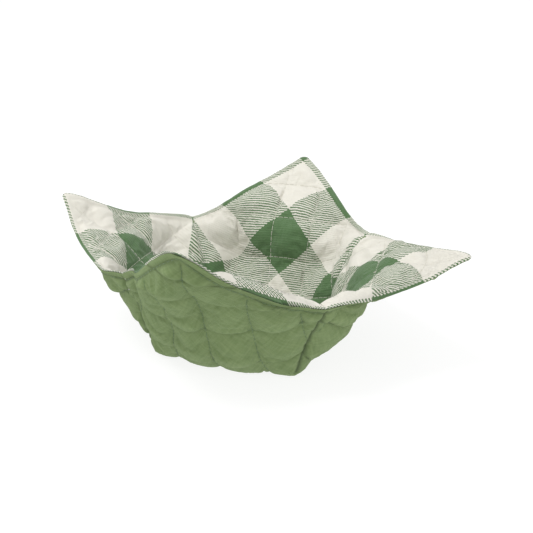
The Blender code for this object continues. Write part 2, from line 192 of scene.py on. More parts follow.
def seam_line(seam):
    """Places along a base diagonal and up the dart seam at its end."""
    share = np.clip((UP_THE_SEAM - FOLD) / (DART_END - FOLD), 0, 1)
    path = np.minimum(UP_THE_SEAM, FOLD) * math.sqrt(2) + share * SEAM_LENGTH
    folded = ease((path - APEX) / FOLD_WIDTH + 0.5)
    lip = seam["lip"] * ease((share - LIP_START) / (1 - LIP_START))
    lean = np.radians(seam["lean"] + seam["bow"] * (share - 0.5) - lip) * folded
    reach, height = climb(lean, path)
    corner = math.radians(seam["corner"])
    turned = corner + math.radians(seam["turn"])
    on_base = np.minimum(reach, APEX)
    beyond = np.maximum(reach - APEX, 0)
    x = on_base * math.cos(corner) + beyond * math.cos(turned)
    y = on_base * math.sin(corner) + beyond * math.sin(turned)
    return x, y, height


def settle(values, at_tip):
    """Carry a row value on from the dart's end to its value at the tip."""
    before_end = -1 - END_STEPS
    slope = (values[-1] - values[before_end]) / (UP_THE_SEAM[-1] - UP_THE_SEAM[before_end])
    length = TIP - DART_END
    share = np.clip((UP_THE_MIDDLE - DART_END) / length, 0, 1)
    above = (values[-1] * (1 + 2 * share) * (1 - share) ** 2
             + slope * length * share * (1 - share) ** 2
             + at_tip * share * share * (3 - 2 * share))
    below = np.interp(UP_THE_MIDDLE, UP_THE_SEAM, values)
    return np.where(UP_THE_MIDDLE < DART_END, below, above)


def row_values(wall, middle, seam, side):
    """Wrap, droop and spread of the rows on one side of a wall."""
    outward = wall["outward"]
    x, y, height = seam
    seam_out = x * outward[0] + y * outward[1]
    seam_side = (x * outward[1] - y * outward[0]) * side
    width = half_width(UP_THE_SEAM)
    reach = np.interp(UP_THE_SEAM, UP_THE_MIDDLE, middle[0])
    rise = np.interp(UP_THE_SEAM, UP_THE_MIDDLE, middle[1])
    flat = UP_THE_SEAM < FOLD - FOLD_WIDTH
    wrap = np.where(flat, 0, TIP * (reach - seam_out) / np.where(flat, 1, width) ** 2)
    droop = np.where(flat, 0, TIP * (height - rise) / np.where(flat, 1, width) ** 2)
    spread = np.where(flat, 1, seam_side / np.where(flat, 1, width))
    return (settle(wrap, wall["wrap"]), settle(droop, wall["droop"]),
            settle(spread, wall["spread"]))


def make_wall_shape(index):
    """Gather what the surface of one wall is worked out from."""
    wall = WALLS[index]
    middle = middle_line(wall)
    before = row_values(wall, middle, seam_line(SEAMS[index - 1]), -1)
    after = row_values(wall, middle, seam_line(SEAMS[index]), 1)
    return dict(wall, middle=middle, before=before, after=after, swells=SWELLS[index])


WALL_SHAPES = [make_wall_shape(index) for index in range(len(WALLS))]


def swell_height(shape, up, across):
    """How far the soft swells push the cloth inwards."""
    total = np.zeros_like(up)
    for name, (rise, aside, reach_up, reach_across) in SWELL_PLACES.items():
        centre_up = FOLD + rise * WALL_LENGTH
        centre_across = aside * half_width(centre_up)
        distance = (((up - centre_up) / (reach_up * WALL_LENGTH)) ** 2
                    + ((across - centre_across) / (reach_across * WALL_LENGTH)) ** 2)
        total += shape["swells"][name] * WALL_LENGTH * np.exp(-distance)
    held = np.where(up < DART_END, share_across(up, across), np.abs(across) / DART_HALF)
    free = 1 - np.clip(held, 0, 1) ** SWELL_HOLD
    return total * free * ease((up - FOLD) / (SWELL_START * WALL_LENGTH))


def wall_surface(shape, up, across):
    """Places on the middle of the cloth of one wall."""
    outward = shape["outward"]
    reach, height, lean = (np.interp(up, UP_THE_MIDDLE, line)
                           for line in shape["middle"])
    after = across >= 0
    wrap, droop, spread = (
        np.where(after, np.interp(up, UP_THE_MIDDLE, a), np.interp(up, UP_THE_MIDDLE, b))
        for a, b in zip(shape["after"], shape["before"]))
    share = np.clip((up - FOLD) / WALL_LENGTH, 0, 1)
    from_dart = np.clip(np.abs(across) / DART_HALF, 0, 1)
    to_tip = np.clip((TIP - up) / (TIP - DART_END), 0, 1)
    held = np.where(up < DART_END, share_across(up, across) ** 2, from_dart ** 2 * to_tip)
    swing = shape["swing"] * TIP * share ** 2 * (1 - held)
    twist = shape["twist"] * across * np.maximum(up - DART_END, 0) / TIP
    swell = swell_height(shape, up, across)
    out = reach - wrap * across ** 2 / TIP - swell * np.sin(lean)
    aside = spread * across + swing
    z = height + droop * across ** 2 / TIP + twist + swell * np.cos(lean)
    x = out * outward[0] + aside * outward[1] - CENTRE[0]
    y = out * outward[1] - aside * outward[0] - CENTRE[1]
    return np.stack((x, y, z + TABLE), axis=-1)


def dart_at(line):
    """Half the width of a dart, at a distance from the middle of the cloth."""
    return np.clip((line - APEX) / DART_LENGTH, 0, 1) * DART_WIDTH / 2


# The step over which the slope of a wall is taken, and the rounds that it takes
# to find a place of the flat cloth on the grid again
SLOPE_STEP = 0.0005
SAMPLE_ROUNDS = 30


class Cloth:
    """The square of cloth as a grid of points, its four darts sewn up.

    Row and column numbers run from -cells to +cells. The wall of a point follows
    from their signs, and beyond the apex of a dart the middle row or column is
    the dart seam."""

    def __init__(self, cells):
        self.cells = cells
        self.width = 2 * cells + 1
        number = np.arange(-cells, cells + 1)
        self.i, self.j = (line.ravel() for line in np.meshgrid(number, number, indexing="ij"))
        near_u, near_v = self.taken_in(np.abs(self.i), np.abs(self.j))
        self.u = np.where(self.i < 0, -near_u, near_u)
        self.v = np.where(self.j < 0, -near_v, near_v)
        self.wall = self.wall_of(self.i >= 0, self.j >= 0)
        self.x, self.y = (self.u - self.v) / math.sqrt(2), (self.u + self.v) / math.sqrt(2)
        outward = np.array([wall["outward"] for wall in WALLS])[self.wall]
        self.up = self.x * outward[:, 0] + self.y * outward[:, 1]
        self.across = self.x * outward[:, 1] - self.y * outward[:, 0]
        in_u, in_v = near_u - HALF_SIDE + TIP_ROUND, near_v - HALF_SIDE + TIP_ROUND
        self.to_rim = np.where((in_u > 0) & (in_v > 0), TIP_ROUND - np.hypot(in_u, in_v),
                               HALF_SIDE - np.maximum(near_u, near_v))
        self.place = np.zeros((len(self.i), 3))
        self.down = np.zeros((len(self.i), 3))
        for wall, shape in enumerate(WALL_SHAPES):
            own = self.wall == wall
            up, across = self.up[own], self.across[own]
            self.place[own] = wall_surface(shape, up, across)
            self.down[own] = (wall_surface(shape, up - SLOPE_STEP, across)
                              - wall_surface(shape, up + SLOPE_STEP, across)) / (2 * SLOPE_STEP)
        self.triangles, self.cloth_map = self.divide()
        self.normal = point_normals(self.place, self.triangles)
        self.rim = self.rim_points()

    def taken_in(self, i, j):
        """Distances of points from the middle lines, the darts taken in."""
        a, b = i * HALF_SIDE / self.cells, j * HALF_SIDE / self.cells
        u = dart_at(b) + a * (1 - dart_at(b) / HALF_SIDE)
        v = dart_at(a) + b * (1 - dart_at(a) / HALF_SIDE)
        start = HALF_SIDE - TIP_ROUND
        cu, cv = (u - start) / TIP_ROUND, (v - start) / TIP_ROUND
        corner = (cu > 0) & (cv > 0)
        return (np.where(corner, start + TIP_ROUND * cu * np.sqrt(1 - cv ** 2 / 2 * corner), u),
                np.where(corner, start + TIP_ROUND * cv * np.sqrt(1 - cu ** 2 / 2 * corner), v))

    def wall_of(self, right, front):
        """Number of the wall in a quarter of the cloth."""
        return np.where(right, np.where(front, 1, 2), np.where(front, 0, 3))

    def number(self, i, j):
        """Number of the point in a row and column."""
        return (i + self.cells) * self.width + j + self.cells

    def divide(self):
        """Triangles of the cloth, and where their corners lie on the flat cloth."""
        line = np.arange(-self.cells, self.cells)
        i, j = (row.ravel() for row in np.meshgrid(line, line, indexing="ij"))
        corners = [self.number(i, j), self.number(i + 1, j),
                   self.number(i + 1, j + 1), self.number(i, j + 1)]
        x, y = self.x[corners[0]], self.y[corners[0]]
        up_line = stitch_distance(x, COVER_QUILT_START) < stitch_distance(y, QUILT_ROW_START)
        one, other = ((0, 1, 2), (0, 2, 3)), ((0, 1, 3), (1, 2, 3))
        triangles, places = [], []
        sign_u, sign_v = np.where(i >= 0, 1, -1), np.where(j >= 0, 1, -1)
        near_u, near_v = np.abs(self.u), np.abs(self.v)
        for split, chosen in ((one, up_line), (other, ~up_line)):
            for face in split:
                numbers = np.stack([corners[k][chosen] for k in face], axis=1)
                triangles.append(numbers)
                places.append(np.stack([near_u[numbers] * sign_u[chosen, None],
                                        near_v[numbers] * sign_v[chosen, None]], axis=2))
        return np.concatenate(triangles), np.concatenate(places)

    def rim_points(self):
        """Numbers of the points round the edge, anticlockwise from above."""
        n = self.cells
        run = np.arange(-n, n)
        return np.concatenate([self.number(run, np.full_like(run, -n)),
                               self.number(np.full_like(run, n), run),
                               self.number(-run, np.full_like(run, n)),
                               self.number(np.full_like(run, -n), -run)])

    def outwards_at_rim(self, places, normals):
        """Direction from the cloth straight out over its edge."""
        along = places[np.roll(self.rim, -1)] - places[np.roll(self.rim, 1)]
        outward = np.cross(along, normals[self.rim])
        return outward / np.linalg.norm(outward, axis=1)[:, None]

    def sample(self, values, u, v):
        """Values of the grid at any places of the flat cloth."""
        near_u, near_v = np.abs(u), np.abs(v)
        a, b = near_u.copy(), near_v.copy()
        for _ in range(SAMPLE_ROUNDS):
            a, b = ((near_u - dart_at(b)) / (1 - dart_at(b) / HALF_SIDE),
                    (near_v - dart_at(a)) / (1 - dart_at(a) / HALF_SIDE))
        a = np.clip(a, 0, HALF_SIDE) * self.cells / HALF_SIDE * np.where(u < 0, -1, 1)
        b = np.clip(b, 0, HALF_SIDE) * self.cells / HALF_SIDE * np.where(v < 0, -1, 1)
        i = np.clip(np.floor(a), -self.cells, self.cells - 1).astype(int)
        j = np.clip(np.floor(b), -self.cells, self.cells - 1).astype(int)
        s, t = (a - i)[:, None], (b - j)[:, None]
        return (values[self.number(i, j)] * (1 - s) * (1 - t)
                + values[self.number(i + 1, j)] * s * (1 - t)
                + values[self.number(i, j + 1)] * (1 - s) * t
                + values[self.number(i + 1, j + 1)] * s * t)


def point_normals(places, triangles):
    """Unit directions at right angles to the surface, towards the bowl."""
    corners = places[triangles]
    faces = np.cross(corners[:, 1] - corners[:, 0], corners[:, 2] - corners[:, 0])
    normals = np.zeros_like(places)
    for corner in range(3):
        np.add.at(normals, triangles[:, corner], faces)
    return normals / np.linalg.norm(normals, axis=1)[:, None]


# Each seed takes its ripples from another place of the noise
RIPPLE_STEPS = (3.7, 1.3, 5.1)


def ripple(cloth, size, seed):
    """Soft uneven noise over the cloth, mostly between -1 and 1."""
    shift = Vector([seed * step for step in RIPPLE_STEPS])
    return np.array([noise.noise(Vector((u, v, 0)) / size + shift)
                     for u, v in zip(cloth.u, cloth.v)])


def stitch_distance(place, start):
    """Distance to the nearest line of quilting."""
    turns = (place - start) / QUILT_SPACING
    return np.abs(turns - np.round(turns)) * QUILT_SPACING


def quilting_distance(cloth, column_start):
    """Distance to the nearest line of quilting, up or level."""
    return np.minimum(stitch_distance(cloth.y, QUILT_ROW_START),
                      stitch_distance(cloth.x, column_start))


def seam_distance(cloth):
    """Distance to the nearest dart seam, or far if none is near."""
    aside = half_width(cloth.up) - np.abs(cloth.across)
    return np.where((cloth.up > FOLD) & (cloth.up < DART_END), aside, 1)


# How far from a seam and from the hem the puffs reach their full height
PUFF_TO_SEAM = 0.003
PUFF_TO_HEM = 0.006


def puff_share(cloth, column_start, sharpness, lean_down):
    """Share of the full puff at each point: none on a line of stitches.

    lean_down moves the fullest place of each puff down the wall."""
    def pillow(place, start, down):
        turns = (place - start) / QUILT_SPACING
        share = turns - np.floor(turns)
        share = share ** np.exp2(-down)
        return np.sin(math.pi * share) ** sharpness

    x_down = np.where(cloth.wall == 0, -lean_down, np.where(cloth.wall == 2, lean_down, 0))
    y_down = np.where(cloth.wall == 3, -lean_down, np.where(cloth.wall == 1, lean_down, 0))
    quilted = pillow(cloth.x, column_start, x_down) * pillow(cloth.y, QUILT_ROW_START, y_down)
    to_hem = cloth.to_rim - TOPSTITCH_INSET
    return (quilted * np.sqrt(ease(seam_distance(cloth) / PUFF_TO_SEAM))
            * np.where(to_hem > 0, np.sqrt(ease(to_hem / PUFF_TO_HEM)), 0))


# The overhang is fullest a little above its stitches. It dies out towards the
# hem, the seams and the base, and between two stitch lines it bows down
HANG_START = 0.0004
HANG_PEAK = 0.0022
HANG_WIDTH = 0.0026
HANG_BOW = 0.7
HANG_PATCH = 0.045
HANG_MEAN, HANG_VARIES, HANG_MOST = 0.75, 0.9, 1.3
HANG_TO_HEM = 0.012
HANG_TO_SEAM = 0.010
HANG_ABOVE_FOLD = 0.004
HANG_GROWS = 0.012


def overhang(cloth, column_start, depth, seed):
    """How far the cloth above a level line of stitches hangs down over it."""
    fold = np.zeros_like(cloth.up)
    for walls, down_line, start, side_line, side_start in (
            ((1, 3), cloth.y, QUILT_ROW_START, cloth.x, column_start),
            ((0, 2), cloth.x, column_start, cloth.y, QUILT_ROW_START)):
        toward_rim = np.where(np.isin(cloth.wall, (1, 2)), 1, -1)
        above = (down_line - start) * toward_rim / QUILT_SPACING
        above = (above - np.floor(above)) * QUILT_SPACING
        between = stitch_distance(side_line, side_start) / QUILT_SPACING * 2
        profile = np.exp(-((above - HANG_PEAK) / HANG_WIDTH) ** 2)
        hang = (np.where(above > HANG_START, profile, 0)
                * np.sin(math.pi / 2 * between) ** HANG_BOW)
        fold = np.where(np.isin(cloth.wall, walls), hang, fold)
    uneven = np.clip(HANG_MEAN + HANG_VARIES * ripple(cloth, HANG_PATCH, seed), 0, HANG_MOST)
    clear = (ease((cloth.to_rim - TOPSTITCH_INSET) / HANG_TO_HEM)
             * ease(seam_distance(cloth) / HANG_TO_SEAM))
    return depth * fold * uneven * clear * ease((cloth.up - FOLD - HANG_ABOVE_FOLD) / HANG_GROWS)


def level_line_distance(cloth, column_start):
    """Distance to the nearest line of stitches that runs level round a wall."""
    return np.where(np.isin(cloth.wall, (1, 3)), stitch_distance(cloth.y, QUILT_ROW_START),
                    stitch_distance(cloth.x, column_start))


# Length and width of a drag fold, and how far apart the walls take their noise
DRAG_LENGTH = 0.020
DRAG_WIDTH = 0.0048
DRAG_WALL_STEP = 2.7


def drag_folds(cloth, seed):
    """Long low wrinkles that run level round the walls."""
    front = np.isin(cloth.wall, (1, 3))
    level, steep = np.where(front, cloth.x, cloth.y), np.where(front, cloth.y, cloth.x)
    return np.array([
        noise.noise(Vector((a / DRAG_LENGTH, b / DRAG_WIDTH, seed + DRAG_WALL_STEP * wall)))
        for a, b, wall in zip(level, steep, cloth.wall)])


def hem_profile(cloth):
    """How far a face stands out between the edge and the topstitching."""
    place = np.clip(cloth.to_rim / TOPSTITCH_INSET, 0, 1)
    return np.where(cloth.to_rim < TOPSTITCH_INSET, np.sin(math.pi * place) ** 0.5, 0)


# The finer relief of a layer. Puckers lie along the stitches, and creases and
# dents over the puffs, each with its size on the cloth and its height. The hem
# has no wadding in it, so it is thinner and rounded, and the seams are drawn in
PUFF_SHARPNESS = 0.55
PUCKER_SIZE, PUCKER_HEIGHT = 0.0042, 0.0006
PUCKER_REACH = 0.004
PUCKER_CLEAR = 0.001
CREASE_SIZE, CREASE_HEIGHT = 0.011, 0.0009
DENT_SIZE, DENT_HEIGHT = 0.030, 0.0008
HEM_PUCKER_SIZE, HEM_PUCKER_HEIGHT = 0.006, 0.0003
HEM_THINNER = 0.45
HEM_THINS_AT = 0.4
HEM_ROUNDING = 0.0006
SEAM_DEPTH = 0.0009
SEAM_REACH = 0.001


def layer_offset(cloth, column_start, puff, lean_down, seed):
    """Distance of a layer's visible face from the middle of the cloth."""
    share = puff_share(cloth, column_start, PUFF_SHARPNESS, lean_down)
    near = quilting_distance(cloth, column_start)
    pucker = (ripple(cloth, PUCKER_SIZE, seed) * np.exp(-near / PUCKER_REACH)
              * np.clip(near / PUCKER_CLEAR, 0, 1) * PUCKER_HEIGHT)
    crease = (ripple(cloth, CREASE_SIZE, seed + 1) * CREASE_HEIGHT * share
              + ripple(cloth, DENT_SIZE, seed + 2) * DENT_HEIGHT)
    hem_pucker = ripple(cloth, HEM_PUCKER_SIZE, seed + 3) * HEM_PUCKER_HEIGHT
    hem_share = 1 - ease(cloth.to_rim / (2 * TOPSTITCH_INSET) - HEM_THINS_AT)
    rest = (WADDING_PINCHED / 2 + CLEARANCE + COTTON) * (1 - HEM_THINNER * hem_share)
    sunk_seam = SEAM_DEPTH * np.exp(-seam_distance(cloth) / SEAM_REACH)
    quilted = cloth.to_rim > TOPSTITCH_INSET
    return (rest + puff * share + np.where(quilted, pucker + crease * share, hem_pucker)
            + HEM_ROUNDING * hem_profile(cloth) - sunk_seam)


# The cloths settle at ten times their size, since small cloths settle badly.
# Points up to half a cell from a line of stitches are held, and ON_LINE allows
# for rounding
SETTLE_SCALE = 10
SETTLE_FRAMES = 24
ON_LINE = 1.01


def let_settle(cloth, column_start, start, side, push, sag, spare, hanging_spare):
    """Let a layer settle between its stitches, where it has a little cloth to spare.

    push is the wadding's pressure, and side is 1 if that is into the bowl and -1
    if outwards. sag is the share of its weight that counts. spare is the share of
    cloth to spare all over, and hanging_spare the share more up and down."""
    line = np.arange(-cloth.cells, cloth.cells)
    i, j = (row.ravel() for row in np.meshgrid(line, line, indexing="ij"))
    quads = np.stack([cloth.number(i, j), cloth.number(i + 1, j),
                      cloth.number(i + 1, j + 1), cloth.number(i, j + 1)], axis=1)[:, ::side]
    half_cell = HALF_SIDE / cloth.cells / 2 / math.sqrt(2)
    held = ((quilting_distance(cloth, column_start) <= half_cell * ON_LINE)
            | (seam_distance(cloth) < half_cell)
            | (cloth.to_rim < TOPSTITCH_INSET))
    mesh = bpy.data.meshes.new("settling")
    mesh.from_pydata((start * SETTLE_SCALE).tolist(), [], quads.tolist())
    settling = bpy.data.objects.new("settling", mesh)
    bpy.context.scene.collection.objects.link(settling)
    settling.shape_key_add(name="Basis")
    longer = settling.shape_key_add(name="longer")
    longer.data.foreach_set("co", (start * SETTLE_SCALE * (1, 1, 1 + hanging_spare)).ravel())
    settling.vertex_groups.new(name="held").add(np.flatnonzero(held).tolist(), 1.0, "REPLACE")
    modifier = settling.modifiers.new("settle", "CLOTH")
    cotton = modifier.settings
    cotton.quality = 6
    cotton.mass = 0.3
    cotton.tension_stiffness = 15
    cotton.compression_stiffness = 15
    cotton.shear_stiffness = 5
    cotton.bending_stiffness = 0.02
    cotton.tension_damping = 10
    cotton.compression_damping = 10
    cotton.shear_damping = 5
    cotton.rest_shape_key = longer
    cotton.shrink_min = -spare
    cotton.vertex_group_mass = "held"
    cotton.use_pressure = True
    cotton.uniform_pressure_force = push
    cotton.effector_weights.gravity = sag
    modifier.collision_settings.use_collision = False
    modifier.point_cache.frame_start = 1
    modifier.point_cache.frame_end = SETTLE_FRAMES
    for frame in range(1, SETTLE_FRAMES + 1):
        bpy.context.scene.frame_set(frame)
    settled = settling.evaluated_get(bpy.context.evaluated_depsgraph_get())
    settled_mesh = settled.to_mesh()
    places = np.zeros(3 * len(settled_mesh.vertices))
    settled_mesh.vertices.foreach_get("co", places)
    settled.to_mesh_clear()
    bpy.context.scene.frame_set(1)
    bpy.data.objects.remove(settling, do_unlink=True)
    return places.reshape(-1, 3) / SETTLE_SCALE


# Steps round the folded edge, the share of the fold that its pattern takes up,
# and the distance on the flat cloth that shows that a dart lies between
EDGE_STEPS = 4
EDGE_MAP_SHARE = 0.9
MAP_JUMP = 0.01


def cotton_mesh(name, cloth, face, back, outwards, edge, side):
    """Closed mesh of one layer: its face, its back and the fold round its edge.

    side is 1 if the face looks into the bowl and -1 if it looks out, and edge is
    how far the fold stands out past a half circle."""
    count = len(face)
    rim = cloth.rim
    rings = []
    middle = (face[rim] + back[rim]) / 2
    across = (face[rim] - back[rim]) / 2
    radius = np.linalg.norm(across, axis=1)[:, None]
    for step in range(1, EDGE_STEPS):
        angle = math.pi * step / EDGE_STEPS
        rings.append(middle + across * math.cos(angle)
                     + outwards * (radius + edge) * math.sin(angle))
    points = np.concatenate([face, back] + rings)
    front = cloth.triangles if side > 0 else cloth.triangles[:, ::-1]
    front_map = cloth.cloth_map if side > 0 else cloth.cloth_map[:, ::-1]
    faces = np.concatenate([front, front[:, ::-1] + count])
    maps = np.concatenate([front_map, front_map[:, ::-1]])
    rows = [rim] + [2 * count + number * len(rim) + np.arange(len(rim))
                    for number in range(EDGE_STEPS - 1)] + [rim + count]
    rim_map = np.stack((cloth.u[rim], cloth.v[rim]), axis=1)
    beyond = rim_map * (1 + EDGE_MAP_SHARE * (radius + edge) / HALF_SIDE)
    row_maps = [rim_map] + [rim_map + (beyond - rim_map) * math.sin(math.pi * k / EDGE_STEPS)
                            for k in range(1, EDGE_STEPS)] + [rim_map]
    for k in range(EDGE_STEPS):
        a, b = rows[k], np.roll(rows[k], -1)
        c, d = np.roll(rows[k + 1], -1), rows[k + 1]
        ma, mb = row_maps[k], np.roll(row_maps[k], -1, axis=0)
        mc, md = np.roll(row_maps[k + 1], -1, axis=0), row_maps[k + 1]
        far = np.linalg.norm(mb - ma, axis=1) > MAP_JUMP
        mb, mc = np.where(far[:, None], ma, mb), np.where(far[:, None], md, mc)
        one, other = np.stack((b, a, d), axis=1), np.stack((b, d, c), axis=1)
        mo, mt = np.stack((mb, ma, md), axis=1), np.stack((mb, md, mc), axis=1)
        if side < 0:
            one, other, mo, mt = one[:, ::-1], other[:, ::-1], mo[:, ::-1], mt[:, ::-1]
        faces = np.concatenate([faces, one, other])
        maps = np.concatenate([maps, mo, mt])
    mesh = bpy.data.meshes.new(name)
    mesh.vertices.add(len(points))
    mesh.vertices.foreach_set("co", points.ravel())
    mesh.loops.add(3 * len(faces))
    mesh.loops.foreach_set("vertex_index", faces.ravel().astype(np.int32))
    mesh.polygons.add(len(faces))
    mesh.polygons.foreach_set("loop_start", np.arange(0, 3 * len(faces), 3, dtype=np.int32))
    mesh.update(calc_edges=True)
    layer = mesh.uv_layers.new(name="cloth")
    layer.data.foreach_set("uv", maps.reshape(-1, 2).ravel())
    mesh.shade_smooth()
    piece = bpy.data.objects.new(name, mesh)
    bpy.context.scene.collection.objects.link(piece)
    return piece


class Nodes:
    """Short ways to add the nodes of one material."""

    def __init__(self, name):
        self.material = bpy.data.materials.new(name)
        self.material.use_nodes = True
        self.tree = self.material.node_tree
        self.shader = self.tree.nodes["Principled BSDF"]

    def put(self, value, socket):
        """Join a value or an output to an input."""
        if isinstance(value, bpy.types.NodeSocket):
            self.tree.links.new(value, socket)
        else:
            socket.default_value = value

    def finish(self, **values):
        """Set inputs of the shader, named with _ for a space."""
        for name, value in values.items():
            self.put(value, self.shader.inputs[name.replace("_", " ")])

    def math(self, kind, a, b=None, c=None):
        """Result of one sum."""
        node = self.tree.nodes.new("ShaderNodeMath")
        node.operation = kind
        for value, socket in zip((a, b, c), node.inputs):
            if value is not None:
                self.put(value, socket)
        return node.outputs[0]

    def split(self, vector):
        """The parts of a vector."""
        node = self.tree.nodes.new("ShaderNodeSeparateXYZ")
        self.put(vector, node.inputs[0])
        return node.outputs

    def place(self):
        """Place on the flat cloth, in metres."""
        node = self.tree.nodes.new("ShaderNodeUVMap")
        node.uv_map = "cloth"
        return node.outputs[0]

    def noise(self, vector, scale, detail=2.0, stretch=None):
        """Soft noise from 0 to 1."""
        if stretch:
            mapping = self.tree.nodes.new("ShaderNodeMapping")
            mapping.inputs["Scale"].default_value = stretch
            self.put(vector, mapping.inputs[0])
            vector = mapping.outputs[0]
        node = self.tree.nodes.new("ShaderNodeTexNoise")
        node.inputs["Scale"].default_value = scale
        node.inputs["Detail"].default_value = detail
        self.put(vector, node.inputs["Vector"])
        return node.outputs[0]

    def mix(self, share, first, second):
        """Colour between two others."""
        node = self.tree.nodes.new("ShaderNodeMix")
        node.data_type = "RGBA"
        self.put(share, node.inputs[0])
        self.put(first, node.inputs[6])
        self.put(second, node.inputs[7])
        return node.outputs[2]

    def bump(self, height, depth, strength=1.0):
        """Direction of the surface with fine relief."""
        node = self.tree.nodes.new("ShaderNodeBump")
        node.inputs["Strength"].default_value = strength
        node.inputs["Distance"].default_value = depth
        self.put(height, node.inputs["Height"])
        return node.outputs[0]


COVER_GREEN = (0.234, 0.310, 0.138, 1)
COVER_SHADE = (0.137, 0.205, 0.078, 1)
# Painted shade: the dark colour that is painted into the narrow creases
COVER_PAINTED_SHADE = (0.040, 0.062, 0.024, 1)
# Painted highlight: the lighter colour painted on the crowns of the yarns
COVER_YARN_HIGHLIGHT = (0.249, 0.318, 0.152, 1)
COVER_FUZZ = (0.55, 0.65, 0.45, 1)
COVER_YARN = 0.00042
COVER_RELIEF = 0.00018
RELIEF_STRENGTH = 0.8
MOTTLE_SCALE, MOTTLE_SHARE = 90, 0.5
SLUB_SCALE, SLUB_STRETCH = 700, 0.10
SLUB_CONTRAST, SLUB_START = 2.4, -0.95
SLUB_HEIGHT = 1.2
YARN_HIGHLIGHT_SHARE = 0.35


def cover_material():
    """Plain woven cotton, dyed green, a little uneven in colour, with painted shade in its
    creases and painted highlights on the crowns of its yarns.
    """
    n = Nodes("cover_cotton")
    place = n.place()
    u, v = n.split(place)[:2]
    mottled = n.noise(place, MOTTLE_SCALE, 3)
    # Painted shade: a mesh attribute tells how far the colour is darkened in the creases
    painted_fold_shade = n.tree.nodes.new("ShaderNodeAttribute")
    painted_fold_shade.attribute_name = "painted_fold_shade"
    slub = n.noise(place, SLUB_SCALE, 3, (1, SLUB_STRETCH, 1))
    slub_across = n.noise(place, SLUB_SCALE, 3, (SLUB_STRETCH, 1, 1))
    turns = (n.math("MULTIPLY", line, math.pi / COVER_YARN) for line in (u, v))
    yarn_u, yarn_v = (n.math("ABSOLUTE", n.math("SINE", turn)) for turn in turns)
    weave = n.math("MULTIPLY", yarn_u, yarn_v)
    uneven = n.math("ADD", n.math("MULTIPLY", slub, 0.5), n.math("MULTIPLY", slub_across, 0.5))
    slubs = n.math("MULTIPLY_ADD", uneven, SLUB_CONTRAST, SLUB_START)
    shade = n.math("ADD", n.math("MULTIPLY", mottled, MOTTLE_SHARE), slubs)
    colour = n.mix(shade, COVER_SHADE, COVER_GREEN)
    # Painted highlight: the colour is lighter where the yarns of the weave stand highest
    colour = n.mix(n.math("MULTIPLY", weave, YARN_HIGHLIGHT_SHARE), colour, COVER_YARN_HIGHLIGHT)
    # Paint shade into the creases along the stitches, seams and hem
    colour = n.mix(painted_fold_shade.outputs["Fac"], colour, COVER_PAINTED_SHADE)
    height = n.math("ADD", weave, n.math("MULTIPLY", uneven, SLUB_HEIGHT))
    n.finish(Base_Color=colour, Roughness=0.92, Sheen_Weight=0.25, Sheen_Roughness=0.5,
             Sheen_Tint=COVER_FUZZ, Specular_IOR_Level=0.15,
             Normal=n.bump(height, COVER_RELIEF, RELIEF_STRENGTH))
    return n.material


# The puffs of the cover hang down by COVER_LEAN, its overhang is COVER_HANG
# deep and stands out by a share of that, and its back is tucked in a little.
# Painted shade darkens the colour along the level stitches, the seams and the hem, where narrow
# creases would lie in shade
CELLS = 92
COVER_SEED, HANG_SEED, DRAG_SEED, EDGE_SEED, SHADE_SEED = 1, 4, 5.2, 9, 21
COVER_LEAN = 1.3
COVER_HANG = 0.0045
HANG_STANDS_OUT = 0.25
COVER_DRAG = 0.0011
ABOVE_FLOOR = 0.004
BACK_SHARE = 0.85
EDGE_RIPPLE = 0.008
COVER_EDGE = 0.0002
# Width, patchiness and strength of the painted shade along the level stitches, the seams and the
# hem
LEVEL_SHADE_WIDTH = 0.0011
LEVEL_SHADE_PATCH = 0.03
LEVEL_SHADE_MEAN, LEVEL_SHADE_VARIES, LEVEL_SHADE_LEAST = 0.70, 0.9, 0.2
SEAM_SHADE_WIDTH = 0.0008
HEM_SHADE_DEPTH, HEM_SHADE_WIDTH = 0.65, 0.0008
PAINTED_SHADE_DEPTH = 0.85


cloth = Cloth(CELLS)
cover_offset = layer_offset(cloth, COVER_QUILT_START, COVER_PUFF, COVER_LEAN, COVER_SEED)
up_wall = ease((cloth.up - FOLD) / FOLD_WIDTH)
pressed = (WADDING_PINCHED / 2 + CLEARANCE + COTTON + BASE_PUFF
           + (COVER_PUFF - BASE_PUFF + ABOVE_FLOOR) * up_wall)
cover_offset = np.minimum(cover_offset, pressed)
hang = overhang(cloth, COVER_QUILT_START, COVER_HANG, HANG_SEED)
clear_of_hem = ease((cloth.to_rim - TOPSTITCH_INSET) / PUFF_TO_HEM)
cover_offset += COVER_DRAG * drag_folds(cloth, DRAG_SEED) * clear_of_hem * up_wall
cover_face = (cloth.place - cloth.normal * (cover_offset + HANG_STANDS_OUT * hang)[:, None]
              + cloth.down * hang[:, None])
cover_face = let_settle(cloth, COVER_QUILT_START, cover_face, side=-1, push=0.10, sag=1.5,
                        spare=0.04, hanging_spare=0.12)
cover_face[:, 2] = np.maximum(cover_face[:, 2], 0)
cover_back = cover_face + cloth.normal * (BACK_SHARE * COTTON)
cover_back[:, 2] = np.maximum(cover_back[:, 2], COTTON)
outwards = cloth.outwards_at_rim(cloth.place, cloth.normal)
edge_noise = ripple(cloth, EDGE_RIPPLE, EDGE_SEED)[cloth.rim][:, None]
cover = cotton_mesh("cover", cloth, cover_face, cover_back, outwards, edge_noise * COVER_EDGE, -1)
